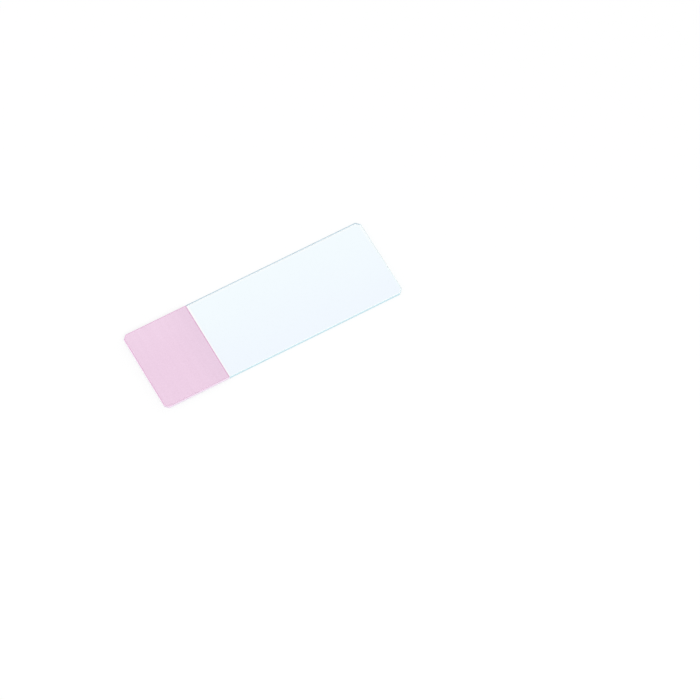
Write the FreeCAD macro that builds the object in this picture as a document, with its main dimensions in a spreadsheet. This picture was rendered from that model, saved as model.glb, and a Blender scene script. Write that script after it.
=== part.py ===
import FreeCAD, Part
import os
import Sketcher

# A microscope slide: one ground glass plate, and the film of matt ink that is
# fired on to one end of it as a marking area.
# Millimetres. The origin is the middle of the underside, +X runs along the slide
# away from the marking end, and +Z points up out of the coated face.

DIMENSIONS = {
    "slide_length": 75.0,
    "slide_width": 25.0,
    "slide_thickness": 1.1,
    "corner_clip": 1.2,  # legs of the 45 degree cut across each corner
    "edge_arris": 0.15,  # bevel ground all round both faces
    "coat_length": 20.0,  # from the end of the slide to the border with the clear glass
    "coat_thickness": 0.03,
}

# The arris moves in the sides of a face by its own size, and the cut across a
# corner by the same, so on the face the cut has shorter legs than on the plate.
FACE_CLIP = "Dimensions.corner_clip - (2 - sqrt(2)) * Dimensions.edge_arris"


def make_sheet(doc):
    """Put the driving dimensions in a sheet, each in a cell with an alias."""
    sheet = doc.addObject("Spreadsheet::Sheet", "Dimensions")
    for row, (alias, value) in enumerate(DIMENSIONS.items(), start=1):
        sheet.set(f"A{row}", alias.replace("_", " "))
        sheet.set(f"B{row}", str(value))
        sheet.setAlias(f"B{row}", alias)
    doc.recompute()


def new_body(doc, name, label):
    """Start an empty body. Its label is the sub-part's name."""
    body = doc.addObject("PartDesign::Body", name)
    body.Label = label
    return body


def centred_rectangle(body, name, length, width):
    """Sketch a rectangle about the origin of the body's XY plane."""
    sketch = body.newObject("Sketcher::SketchObject", name)
    xy_plane = next(f for f in body.Origin.OriginFeatures if f.Role == "XY_Plane")
    sketch.AttachmentSupport = [(xy_plane, "")]
    sketch.MapMode = "FlatFace"
    corners = [FreeCAD.Vector(x, y, 0) for x, y in ((-2, -1), (2, -1), (2, 1), (-2, 1))]
    for start, end in zip(corners, corners[1:] + corners[:1]):
        sketch.addGeometry(Part.LineSegment(start, end), False)
    front, right, back, left = range(4)
    for line, following in ((front, right), (right, back), (back, left), (left, front)):
        sketch.addConstraint(Sketcher.Constraint("Coincident", line, 2, following, 1))
    for line in (front, back):
        sketch.addConstraint(Sketcher.Constraint("Horizontal", line))
    for line in (right, left):
        sketch.addConstraint(Sketcher.Constraint("Vertical", line))
    sketch.addConstraint(Sketcher.Constraint("Symmetric", front, 1, right, 2, -1, 1))
    sketch.addConstraint(Sketcher.Constraint("DistanceX", front, 1, front, 2, 4))
    sketch.renameConstraint(sketch.ConstraintCount - 1, "length")
    sketch.addConstraint(Sketcher.Constraint("DistanceY", right, 1, right, 2, 2))
    sketch.renameConstraint(sketch.ConstraintCount - 1, "width")
    sketch.setExpression("Constraints.length", length)
    sketch.setExpression("Constraints.width", width)
    return sketch


def pad(doc, body, name, sketch, height):
    """Raise a sketch into a solid along +Z."""
    feature = body.newObject("PartDesign::Pad", name)
    feature.Profile = sketch
    feature.setExpression("Length", height)
    doc.recompute()
    return feature


def chamfer(doc, body, name, base, size, chosen):
    """Bevel the base feature's edges for which chosen(edge) is true."""
    numbered = enumerate(base.Shape.Edges, start=1)
    feature = body.newObject("PartDesign::Chamfer", name)
    feature.Base = (base, [f"Edge{number}" for number, edge in numbered if chosen(edge)])
    feature.setExpression("Size", size)
    doc.recompute()
    return feature


def is_upright(edge):
    """True for an edge that runs through the thickness."""
    return edge.BoundBox.ZLength > edge.BoundBox.DiagonalLength / 2


def make_glass_plate(doc):
    """The plate: cut to size, its corners clipped, then all its edges ground."""
    body = new_body(doc, "GlassPlate", "glass_plate")
    outline = centred_rectangle(
        body, "PlateOutline", "Dimensions.slide_length", "Dimensions.slide_width"
    )
    blank = pad(doc, body, "PlateBlank", outline, "Dimensions.slide_thickness")
    clipped = chamfer(
        doc, body, "CornerClips", blank, "Dimensions.corner_clip", is_upright
    )
    chamfer(
        doc,
        body,
        "GroundArris",
        clipped,
        "Dimensions.edge_arris",
        lambda edge: not is_upright(edge),
    )
    return body


def make_marking_coat(doc):
    """The ink film: it fills the flat of the face from the slide's end to its border."""
    body = new_body(doc, "MarkingCoat", "marking_coat")
    outline = centred_rectangle(
        body,
        "CoatOutline",
        "Dimensions.coat_length - Dimensions.edge_arris",
        "Dimensions.slide_width - 2 * Dimensions.edge_arris",
    )
    film = pad(doc, body, "CoatFilm", outline, "Dimensions.coat_thickness")
    chamfer(
        doc,
        body,
        "CoatCorners",
        film,
        FACE_CLIP,
        lambda edge: is_upright(edge) and edge.CenterOfMass.x < 0,
    )
    body.setExpression(
        "Placement.Base.x",
        "(Dimensions.coat_length + Dimensions.edge_arris - Dimensions.slide_length) / 2",
    )
    body.setExpression("Placement.Base.z", "Dimensions.slide_thickness")
    return body


def check(doc, bodies):
    """Stop if an object failed to build, or a sub-part isn't one good solid."""
    for item in doc.Objects:
        if "Invalid" in item.State or "Error" in item.State:
            raise RuntimeError(f"{item.Name} failed: {item.State}")
    for body in bodies:
        shape = body.Shape
        if shape.isNull() or not shape.isValid() or len(shape.Solids) != 1:
            raise RuntimeError(f"{body.Label} isn't one valid solid")


def export(bodies):
    """Write each sub-part to a STEP file of its own."""
    os.makedirs("parts", exist_ok=True)
    for body in bodies:
        box = body.Shape.BoundBox
        body.Shape.exportStep(f"parts/{body.Label}.step")
        print(
            f"{body.Label}: {body.Shape.Volume:.3f} mm3,"
            f" x {box.XMin:.3f} to {box.XMax:.3f},"
            f" y {box.YMin:.3f} to {box.YMax:.3f},"
            f" z {box.ZMin:.3f} to {box.ZMax:.3f}"
        )


def main():
    doc = FreeCAD.newDocument("MicroscopeSlide")
    make_sheet(doc)
    bodies = [make_glass_plate(doc), make_marking_coat(doc)]
    doc.recompute()
    check(doc, bodies)
    export(bodies)


main()
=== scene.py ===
import math

import bmesh
import bpy
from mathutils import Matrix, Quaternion, Vector


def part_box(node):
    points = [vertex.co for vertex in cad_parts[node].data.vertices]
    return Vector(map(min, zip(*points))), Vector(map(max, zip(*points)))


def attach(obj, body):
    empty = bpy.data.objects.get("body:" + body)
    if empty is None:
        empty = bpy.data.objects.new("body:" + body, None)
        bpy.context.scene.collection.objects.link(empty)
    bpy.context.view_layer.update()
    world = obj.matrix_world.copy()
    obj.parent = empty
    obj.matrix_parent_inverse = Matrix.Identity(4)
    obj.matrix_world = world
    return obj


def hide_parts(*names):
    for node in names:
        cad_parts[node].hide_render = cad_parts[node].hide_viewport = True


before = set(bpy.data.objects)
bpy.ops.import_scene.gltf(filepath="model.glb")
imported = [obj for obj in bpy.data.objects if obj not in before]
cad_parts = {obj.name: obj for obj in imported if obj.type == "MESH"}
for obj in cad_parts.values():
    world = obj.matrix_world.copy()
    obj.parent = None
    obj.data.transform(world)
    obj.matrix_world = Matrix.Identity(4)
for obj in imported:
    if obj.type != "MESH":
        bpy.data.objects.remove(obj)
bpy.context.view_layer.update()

mm = 0.001
tiny = 0.001 * mm  # places closer than this count as one
white = (1, 1, 1, 1)

plateLow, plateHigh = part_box("glass_plate")
coatLow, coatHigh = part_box("marking_coat")
borderX = coatHigh.x  # the ink stops here and the clear glass starts
arrisWidth = plateHigh.y - coatHigh.y  # the ink fills the face as far as the ground arris

# each long side stops short of the slide's end by the cut across the corner
plateCorners = [corner.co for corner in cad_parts["glass_plate"].data.vertices]
sideEnd = max(place.x for place in plateCorners if plateHigh.y - place.y < tiny)
cornerClip = plateHigh.x - sideEnd


# helpers for meshes


def sortFaces(bm):
    # bevels list the faces at their corners in another order each run
    bm.verts.index_update()
    inOrder = sorted(bm.faces, key=lambda face: sorted(corner.index for corner in face.verts))
    for number, face in enumerate(inOrder):
        face.index = number
    bm.faces.sort()


def newPiece(name, bm, materials):
    bmesh.ops.recalc_face_normals(bm, faces=bm.faces)
    sortFaces(bm)
    mesh = bpy.data.meshes.new(name)
    bm.to_mesh(mesh)
    bm.free()
    for material in materials:
        mesh.materials.append(material)
    piece = bpy.data.objects.new(name, mesh)
    bpy.context.scene.collection.objects.link(piece)
    return piece


def blockBetween(low, high):
    bm = bmesh.new()
    bmesh.ops.create_cube(bm, size=1)
    bmesh.ops.scale(bm, vec=high - low, verts=bm.verts)
    bmesh.ops.translate(bm, vec=(low + high) / 2, verts=bm.verts)
    return bm


def bevelEdges(bm, edges, width, segments):
    bmesh.ops.bevel(
        bm,
        geom=edges,
        offset=width,
        offset_type="OFFSET",
        affect="EDGES",
        segments=segments,
        profile=0.5,
        material=-1,
    )


def isUpright(edge):
    start, end = (corner.co for corner in edge.verts)
    return abs(start.z - end.z) > (start - end).length / 2


# helpers for node trees


def put(socket, value):
    if isinstance(value, bpy.types.NodeSocket):
        socket.id_data.links.new(value, socket)
    else:
        socket.default_value = value


def addNode(tree, kind, settings=None, **inputs):
    node = tree.nodes.new(kind)
    for name, value in (settings or {}).items():
        setattr(node, name, value)
    for name, value in inputs.items():
        put(node.inputs[name.replace("_", " ")], value)  # Base_Color is the socket Base Color
    return node


def mathNode(tree, operation, *values):
    node = addNode(tree, "ShaderNodeMath", {"operation": operation})
    for socket, value in zip(node.inputs, values):
        put(socket, value)
    return node.outputs[0]


def smoothStep(tree, value, start, end, low=0, high=1):
    node = addNode(
        tree,
        "ShaderNodeMapRange",
        {"interpolation_type": "SMOOTHSTEP"},
        Value=value,
        From_Min=start,
        From_Max=end,
        To_Min=low,
        To_Max=high,
    )
    return node.outputs["Result"]


def mixColour(tree, factor, first, second):
    node = addNode(tree, "ShaderNodeMix", {"data_type": "RGBA"})
    put(node.inputs["Factor"], factor)
    put(node.inputs[6], first)  # by number, because several sockets are called A and B
    put(node.inputs[7], second)
    return node.outputs[2]


def mixShader(tree, factor, first, second):
    node = addNode(tree, "ShaderNodeMixShader", Fac=factor)
    put(node.inputs[1], first.outputs[0])
    put(node.inputs[2], second.outputs[0])
    return node


def noise(tree, place, size, detail=2, roughness=0.5, stretch=(1, 1, 1)):
    # size is how far apart the blotches are, in metres
    mapping = addNode(tree, "ShaderNodeMapping", Vector=place, Scale=stretch)
    texture = addNode(
        tree,
        "ShaderNodeTexNoise",
        Vector=mapping.outputs[0],
        Scale=1 / size,
        Detail=detail,
        Roughness=roughness,
    )
    return texture.outputs["Fac"]


def newMaterial(name):
    material = bpy.data.materials.new(name)
    material.use_nodes = True
    material.node_tree.nodes.clear()
    tree = material.node_tree
    place = addNode(tree, "ShaderNodeTexCoord").outputs["Object"]
    return material, tree, place


def finishMaterial(tree, shader):
    addNode(tree, "ShaderNodeOutputMaterial", Surface=shader.outputs[0])


def finishGlass(tree, glass, shadowColour):
    # light on its way to a matt surface passes straight through, less what shadowColour takes
    through = addNode(tree, "ShaderNodeBsdfTransparent", Color=shadowColour)
    rays = addNode(tree, "ShaderNodeLightPath").outputs
    isLight = mathNode(tree, "MAXIMUM", rays["Is Shadow Ray"], rays["Is Diffuse Ray"])
    finishMaterial(tree, mixShader(tree, isLight, glass, through))


# camera: it looks down on the slide as it lies, from the marking end

viewpoint = {
    "lens": 252.5,
    "sensorWidth": 36,
    "nearest": 0.01,
    "distance": 1.34705,
    "azimuth": -34.843,
    "elevation": 63.619,
    "roll": 5.6254,
    "aim": Vector((0.015749, -0.020626, 0)),
}


def standOff(name, data, aim, azimuth, elevation, distance):
    # a camera or a lamp that looks at aim from that direction
    turn, rise = math.radians(azimuth), math.radians(elevation)
    away = Vector(
        (math.sin(turn) * math.cos(rise), -math.cos(turn) * math.cos(rise), math.sin(rise))
    )
    thing = bpy.data.objects.new(name, data)
    thing.location = aim + away * distance
    thing.rotation_mode = "QUATERNION"
    thing.rotation_quaternion = (-away).to_track_quat("-Z", "Y")
    bpy.context.scene.collection.objects.link(thing)
    return thing


def placeCamera():
    data = bpy.data.cameras.new("camera")
    data.lens = viewpoint["lens"]
    data.sensor_width = viewpoint["sensorWidth"]
    data.clip_start = viewpoint["nearest"]
    camera = standOff(
        "camera",
        data,
        viewpoint["aim"],
        viewpoint["azimuth"],
        viewpoint["elevation"],
        viewpoint["distance"],
    )
    camera.rotation_quaternion @= Quaternion((0, 0, 1), math.radians(viewpoint["roll"]))
    bpy.context.scene.camera = camera


placeCamera()
print("camera placed")


# studio: white surroundings, three soft lamps and a pale floor

studio = {
    "worldLight": 0.565,
    "floorHalfSize": 3.0,
    "floorGap": 0.04 * mm,  # the slide lies on a few high spots, so there is air below it
    "floorColour": (0.82, 0.82, 0.82, 1),
    "floorGlow": 0.76,  # share of the floor's white that a shadow can't take away
    "glowThroughGlass": 0.96,
    "lamps": {
        # azimuth, elevation, distance, size and power of each
        "key": (0, 47, 3.0, 1.67, 29.0),
        "fill": (-100, 38, 3.0, 2.02, 32.0),
        "kicker": (100, 20, 3.0, 1.67, 10.5),
    },
}


def seenDirectly(tree):
    # Two masks. The first is 1 where the camera sees the surroundings, straight or by way of
    # gloss or glass, and the second only where it sees them through glass. Both are 0 for
    # the light that the surroundings send to a matt surface.
    rays = addNode(tree, "ShaderNodeLightPath").outputs
    notLight = mathNode(tree, "LESS_THAN", rays["Diffuse Depth"], 0.5)
    either = mathNode(tree, "MAXIMUM", rays["Is Camera Ray"], rays["Is Glossy Ray"])
    throughGlass = mathNode(tree, "MULTIPLY", rays["Is Transmission Ray"], notLight)
    seen = mathNode(tree, "MULTIPLY", either, notLight)
    return mathNode(tree, "MAXIMUM", seen, throughGlass), throughGlass


def makeWorld():
    world = bpy.data.worlds.new("surroundings")
    world.use_nodes = True
    bpy.context.scene.world = world
    tree = world.node_tree
    tree.nodes.clear()
    seen = seenDirectly(tree)[0]
    light = studio["worldLight"]
    strength = mathNode(tree, "MULTIPLY_ADD", seen, 1 - light, light)  # 1 where it is seen
    background = addNode(tree, "ShaderNodeBackground", Color=white, Strength=strength)
    addNode(tree, "ShaderNodeOutputWorld", Surface=background.outputs[0])


def makeLamps():
    for name, (azimuth, elevation, distance, size, power) in studio["lamps"].items():
        data = bpy.data.lights.new(name, "AREA")
        data.shape = "DISK"
        data.size = size
        data.energy = power
        lamp = standOff(name, data, Vector(), azimuth, elevation, distance)
        # the glass mirrors only the white surroundings, so its tint shows from every side
        lamp.visible_glossy = False
        lamp.visible_transmission = False


def makeFloor():
    material, tree, place = newMaterial("paleFloor")
    seen, throughGlass = seenDirectly(tree)
    colour = mixColour(tree, seen, studio["floorColour"], white)
    lit = addNode(tree, "ShaderNodeBsdfDiffuse", Color=colour)
    shine = addNode(tree, "ShaderNodeEmission", Color=white, Strength=1.0)
    glow = mathNode(
        tree,
        "MAXIMUM",
        mathNode(tree, "MULTIPLY", seen, studio["floorGlow"]),
        mathNode(tree, "MULTIPLY", throughGlass, studio["glowThroughGlass"]),
    )
    finishMaterial(tree, mixShader(tree, glow, lit, shine))
    bm = bmesh.new()
    bmesh.ops.create_grid(bm, x_segments=1, y_segments=1, size=studio["floorHalfSize"])
    bmesh.ops.translate(bm, vec=(0, 0, -studio["floorGap"]), verts=bm.verts)
    floor = newPiece("floor", bm, [material])


makeWorld()
makeLamps()
makeFloor()
print("studio built")


# the slide's outline as a node group, for marks that follow its edges


def makeOutlineGroup():
    tree = bpy.data.node_groups.new("outlineDistance", "ShaderNodeTree")
    sockets = tree.interface.new_socket
    sockets("Place", in_out="INPUT", socket_type="NodeSocketVector")
    for name in ("Half Length", "Half Width", "Corner Clip", "Border"):
        sockets(name, in_out="INPUT", socket_type="NodeSocketFloat")
    for name in ("From Edge", "Past Border", "Into Corner"):
        sockets(name, in_out="OUTPUT", socket_type="NodeSocketFloat")
    given = tree.nodes.new("NodeGroupInput").outputs
    result = tree.nodes.new("NodeGroupOutput").inputs
    axes = addNode(tree, "ShaderNodeSeparateXYZ", Vector=given["Place"]).outputs
    along = mathNode(tree, "ABSOLUTE", axes["X"])
    across = mathNode(tree, "ABSOLUTE", axes["Y"])
    fromEnd = mathNode(tree, "SUBTRACT", given["Half Length"], along)
    fromSide = mathNode(tree, "SUBTRACT", given["Half Width"], across)
    bothWays = mathNode(tree, "ADD", fromEnd, fromSide)
    pastClip = mathNode(tree, "SUBTRACT", bothWays, given["Corner Clip"])
    fromClip = mathNode(tree, "MULTIPLY", pastClip, math.sqrt(0.5))
    fromSquare = mathNode(tree, "MINIMUM", fromEnd, fromSide)
    put(result["From Edge"], mathNode(tree, "MINIMUM", fromSquare, fromClip))
    put(result["Past Border"], mathNode(tree, "SUBTRACT", axes["X"], given["Border"]))
    put(result["Into Corner"], fromSquare)  # on the upright edges only a cut corner is above 0
    return tree


outlineGroup = makeOutlineGroup()


def outlineDistance(tree, place):
    node = addNode(
        tree,
        "ShaderNodeGroup",
        {"node_tree": outlineGroup},
        Place=place,
        Half_Length=plateHigh.x,
        Half_Width=plateHigh.y,
        Corner_Clip=cornerClip,
        Border=borderX,
    )
    return node.outputs


# the glass plate

plate = {
    "softening": 0.015 * mm,  # no ground corner is razor sharp
    "refraction": 1.52,
    # the two polished faces
    "farTint": (0.895, 0.966, 1.0, 1),
    "nearTint": (0.877, 0.936, 1.0, 1),
    "driftSize": 18 * mm,
    "driftReach": 8 * mm,  # how far the change of tint wanders
    "paleEdgeHighlight": (0.98, 1.0, 1.0, 1),
    "paleBandNear": 0.36 * mm,  # a painted highlight: just inside its edges and beside the border the glass is painted paler
    "paleBandFar": 0.66 * mm,
    "bandSoftness": 0.15 * mm,
    "smearSize": 5 * mm,  # wiping leaves the polish a little uneven
    "smearSpread": (0.3, 0.8),  # the noise's range, from no smear to a full one
    "smearRoughness": 0.02,
    "polishedShadow": (0.94, 0.97, 0.98, 1),
    # the ground edges beside clear glass: the glass's own cyan, painted darker on the far side and its
    # arris as shade, and paler on the far foot, the near arris and the end as painted light
    "groundNear": (0.60, 0.835, 0.91, 1),
    "groundFarShaded": (0.52, 0.665, 0.77, 1),
    "footFarLit": (0.82, 0.885, 0.93, 1),
    "footHeight": 0.4 * mm,
    "groundEndLit": (0.965, 1.0, 1.0, 1),
    "arrisNearLit": (0.86, 0.96, 1.0, 1),
    "arrisFarShaded": (0.49, 0.63, 0.735, 1),
    "arrisBlend": 0.7 * arrisWidth,
    "endBlend": 2 * arrisWidth,
    # the ground edges beside the ink: painted pink light, the ink's colour seen through the ground
    # glass, paler on the end and painted darker as shade on the cut corners; the arris carries ink that
    # has run, painted lighter on the far side
    "groundPinkLight": (1.0, 0.83, 1.0, 1),
    "endPinkLight": (0.995, 0.96, 1.0, 1),
    "cornerPinkShaded": (0.81, 0.645, 0.79, 1),
    "cornerBlend": 1.5 * arrisWidth,
    "inkedNear": (0.76, 0.51, 0.67, 1),
    "inkedFarLit": (1.0, 0.65, 0.96, 1),
    "inkedEnd": (0.745, 0.49, 0.69, 1),
    "pinkFade": (-0.15 * mm, 0.05 * mm),  # past the border, where the pink ends
    # the grinding
    "grindMarks": 0.06 * mm,  # width of the marks that run along the ground edges
    "markStretch": 0.04,
    "markBump": 0.3,
    "markHeight": 0.005 * mm,
    "frostColour": (0.95, 0.98, 1.0, 1),
    "frostSpread": (0.3, 0.75),
    "frostDepth": 0.15,
    "groundRoughness": 0.55,
    "groundGloss": 0.3,
    "groundShadow": (0.80, 0.88, 0.90, 1),
}


def makePolishedGlass():
    material, tree, place = newMaterial("polishedGlass")
    outline = outlineDistance(tree, place)
    axes = addNode(tree, "ShaderNodeSeparateXYZ", Vector=place).outputs
    drift = noise(tree, place, plate["driftSize"], detail=1)
    across = mathNode(tree, "MULTIPLY_ADD", drift, plate["driftReach"], axes["Y"])
    middle = plate["driftReach"] / 2
    far = smoothStep(tree, across, plateLow.y + middle, plateHigh.y + middle)
    tint = mixColour(tree, far, plate["nearTint"], plate["farTint"])
    fromBorder = mathNode(tree, "ABSOLUTE", outline["Past Border"])
    inside = mathNode(tree, "MINIMUM", outline["From Edge"], fromBorder)
    bandWidth = smoothStep(
        tree, axes["Y"], 0, plateHigh.y, plate["paleBandNear"], plate["paleBandFar"]
    )
    pastBand = mathNode(tree, "SUBTRACT", inside, bandWidth)
    body = smoothStep(tree, pastBand, -plate["bandSoftness"], plate["bandSoftness"])
    # painted highlight: a paler band just inside the edges and beside the border
    tint = mixColour(tree, body, plate["paleEdgeHighlight"], tint)
    smears = noise(tree, place, plate["smearSize"], detail=3)
    roughness = smoothStep(tree, smears, *plate["smearSpread"], high=plate["smearRoughness"])
    glass = addNode(
        tree,
        "ShaderNodeBsdfPrincipled",
        Base_Color=tint,
        Roughness=roughness,
        IOR=plate["refraction"],
        Transmission_Weight=1.0,
    )
    finishGlass(tree, glass, plate["polishedShadow"])
    return material


def makeGroundGlass():
    material, tree, place = newMaterial("groundGlass")
    outline = outlineDistance(tree, place)
    axes = addNode(tree, "ShaderNodeSeparateXYZ", Vector=place).outputs
    fromMiddle = mathNode(tree, "ABSOLUTE", axes["X"])
    arrisFoot = plateHigh.z - arrisWidth

    # where on the edge a point is
    far = smoothStep(tree, axes["Y"], plateLow.y / 2, plateHigh.y / 2)
    end = smoothStep(tree, fromMiddle, plateHigh.x - plate["endBlend"], plateHigh.x)
    foot = smoothStep(tree, axes["Z"], plateLow.z, plateLow.z + plate["footHeight"], low=1, high=0)
    onArris = smoothStep(tree, axes["Z"], arrisFoot, arrisFoot + plate["arrisBlend"])
    corner = smoothStep(tree, outline["Into Corner"], 0, plate["cornerBlend"])
    clear = smoothStep(tree, outline["Past Border"], *plate["pinkFade"])

    # painted shade and light: one ground glass, given a darker far side and far arris and a paler far
    # foot, near arris and end
    farSide = mixColour(tree, foot, plate["groundFarShaded"], plate["footFarLit"])
    side = mixColour(tree, far, plate["groundNear"], farSide)
    arris = mixColour(tree, far, plate["arrisNearLit"], plate["arrisFarShaded"])
    colour = mixColour(tree, end, mixColour(tree, onArris, side, arris), plate["groundEndLit"])

    # by the ink the edges get painted pink light, the ink's colour shining through the glass, with
    # painted shade on the cut corners and a paler end; on the arris, where some ink has run, the far
    # side is painted lighter
    byInk = mixColour(tree, end, plate["groundPinkLight"], plate["endPinkLight"])
    byInk = mixColour(tree, corner, byInk, plate["cornerPinkShaded"])
    inked = mixColour(tree, far, plate["inkedNear"], plate["inkedFarLit"])
    inked = mixColour(tree, end, inked, plate["inkedEnd"])
    byInk = mixColour(tree, onArris, byInk, inked)
    colour = mixColour(tree, clear, byInk, colour)

    along = plate["markStretch"]
    marks = noise(tree, place, plate["grindMarks"], detail=3, roughness=0.6, stretch=(along, along, 1))
    frost = smoothStep(tree, marks, *plate["frostSpread"], high=plate["frostDepth"])
    colour = mixColour(tree, frost, colour, plate["frostColour"])
    bump = addNode(
        tree,
        "ShaderNodeBump",
        Strength=plate["markBump"],
        Distance=plate["markHeight"],
        Height=marks,
    )
    glass = addNode(
        tree,
        "ShaderNodeBsdfPrincipled",
        Base_Color=colour,
        Roughness=plate["groundRoughness"],
        IOR=plate["refraction"],
        Specular_IOR_Level=plate["groundGloss"],
        Normal=bump.outputs[0],
    )
    finishGlass(tree, glass, plate["groundShadow"])
    return material


def makePlate():
    bm = blockBetween(plateLow, plateHigh)
    bevelEdges(bm, [edge for edge in bm.edges if isUpright(edge)], cornerClip, segments=1)
    bevelEdges(bm, [edge for edge in bm.edges if not isUpright(edge)], arrisWidth, segments=1)
    bevelEdges(bm, bm.edges[:], plate["softening"], segments=2)
    bySize = sorted(bm.faces, key=lambda face: face.calc_area())
    for face in bySize[:-2]:
        face.material_index = 1  # all but the two broad faces are ground
    piece = newPiece("slide", bm, [makePolishedGlass(), makeGroundGlass()])
    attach(piece, "root")
    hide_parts("glass_plate")


makePlate()
print("glass plate made")


# the ink film of the marking end

ink = {
    "sunk": 0.004 * mm,  # ink wets the glass, so no air lies between the two
    "shoulder": 0.02 * mm,
    "rimCrest": 0.10 * mm,
    "rimSlope": 0.25 * mm,
    "rimDrop": 0.007 * mm,  # the print dries a little higher along its rim
    "farColour": (0.886, 0.670, 0.825, 1),
    "nearColour": (0.866, 0.646, 0.804, 1),
    "borderColour": (0.831, 0.632, 0.784, 1),  # a little darker towards the border
    "borderReach": 10 * mm,
    "borderTail": 2.5 * mm,  # past the border, so the colour still deepens as far as it
    "rimColour": (0.747, 0.458, 0.642, 1),
    "outerRim": 0.27 * mm,
    "nearRim": 0.32,  # how strong the outer rim is on the near side
    "nearRimReach": 2 * mm,
    "borderRim": 0.40 * mm,
    "mottleSize": 0.30 * mm,
    "mottleStretch": (1.5, 1, 1),
    "mottleDepth": 0.085,
    "mottleColour": (0.20, 0.05, 0.15, 1),
    "streakSize": 1.1 * mm,  # faint streaks across the slide, as the squeegee left them
    "streakStretch": (1, 0.05, 0.05),
    "streakDepth": 0.019,
    "grainSize": 0.09 * mm,
    "grainBump": 0.35,
    "grainHeight": 0.006 * mm,
    "noiseSpread": (0.3, 0.7),  # the noise's range, from none of an effect to all of it
    "roughness": (0.75, 0.9),
    "gloss": 0.35,
}


def makeMattInk():
    material, tree, place = newMaterial("mattInk")
    outline = outlineDistance(tree, place)
    pastBorder = outline["Past Border"]
    axes = addNode(tree, "ShaderNodeSeparateXYZ", Vector=place).outputs
    far = smoothStep(tree, axes["Y"], 0, plateHigh.y)
    colour = mixColour(tree, far, ink["nearColour"], ink["farColour"])
    towardBorder = smoothStep(tree, pastBorder, -ink["borderReach"], ink["borderTail"])
    colour = mixColour(tree, towardBorder, colour, ink["borderColour"])

    fromArris = mathNode(tree, "SUBTRACT", outline["From Edge"], arrisWidth)
    outerRim = smoothStep(tree, fromArris, 0, ink["outerRim"], low=1, high=0)
    strength = smoothStep(
        tree, axes["Y"], plateLow.y, plateLow.y + ink["nearRimReach"], low=ink["nearRim"], high=1
    )
    outerRim = mathNode(tree, "MULTIPLY", outerRim, strength)
    borderRim = smoothStep(tree, pastBorder, -ink["borderRim"], -ink["borderRim"] / 2)
    rim = mathNode(tree, "MAXIMUM", outerRim, borderRim)
    colour = mixColour(tree, rim, colour, ink["rimColour"])

    mottle = noise(tree, place, ink["mottleSize"], detail=4, roughness=0.7, stretch=ink["mottleStretch"])
    mottle = smoothStep(tree, mottle, *ink["noiseSpread"], high=ink["mottleDepth"])
    streaks = noise(tree, place, ink["streakSize"], detail=1, stretch=ink["streakStretch"])
    streaks = smoothStep(tree, streaks, *ink["noiseSpread"], high=ink["streakDepth"])
    darker = mathNode(tree, "ADD", mottle, streaks)
    colour = mixColour(tree, darker, colour, ink["mottleColour"])

    grain = noise(tree, place, ink["grainSize"], roughness=0.6)
    roughness = smoothStep(tree, grain, *ink["noiseSpread"], *ink["roughness"])
    bump = addNode(
        tree,
        "ShaderNodeBump",
        Strength=ink["grainBump"],
        Distance=ink["grainHeight"],
        Height=grain,
    )
    paint = addNode(
        tree,
        "ShaderNodeBsdfPrincipled",
        Base_Color=colour,
        Roughness=roughness,
        Specular_IOR_Level=ink["gloss"],
        Normal=bump.outputs[0],
    )
    finishMaterial(tree, paint)
    return material


def makeInkFilm():
    bm = blockBetween(coatLow - Vector((0, 0, ink["sunk"])), coatHigh)
    # the arris moves in the sides of the face, so there the cut across a corner is shorter
    faceClip = cornerClip - (2 - math.sqrt(2)) * arrisWidth
    middleX = (coatLow.x + coatHigh.x) / 2
    outer = [edge for edge in bm.edges if isUpright(edge) and edge.verts[0].co.x < middleX]
    bevelEdges(bm, outer, faceClip, segments=1)
    upper = [edge for edge in bm.edges if all(end.co.z > coatLow.z for end in edge.verts)]
    bevelEdges(bm, upper, ink["shoulder"], segments=3)
    bm.normal_update()
    top = max(bm.faces, key=lambda face: face.calc_area() * face.normal.z)
    bmesh.ops.inset_region(bm, faces=[top], thickness=ink["rimCrest"])
    bmesh.ops.inset_region(bm, faces=[top], thickness=ink["rimSlope"], depth=-ink["rimDrop"])
    piece = newPiece("inkFilm", bm, [makeMattInk()])
    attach(piece, "root")
    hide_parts("marking_coat")


makeInkFilm()
print("ink film made")

bpy.context.scene.view_settings.view_transform = "Standard"
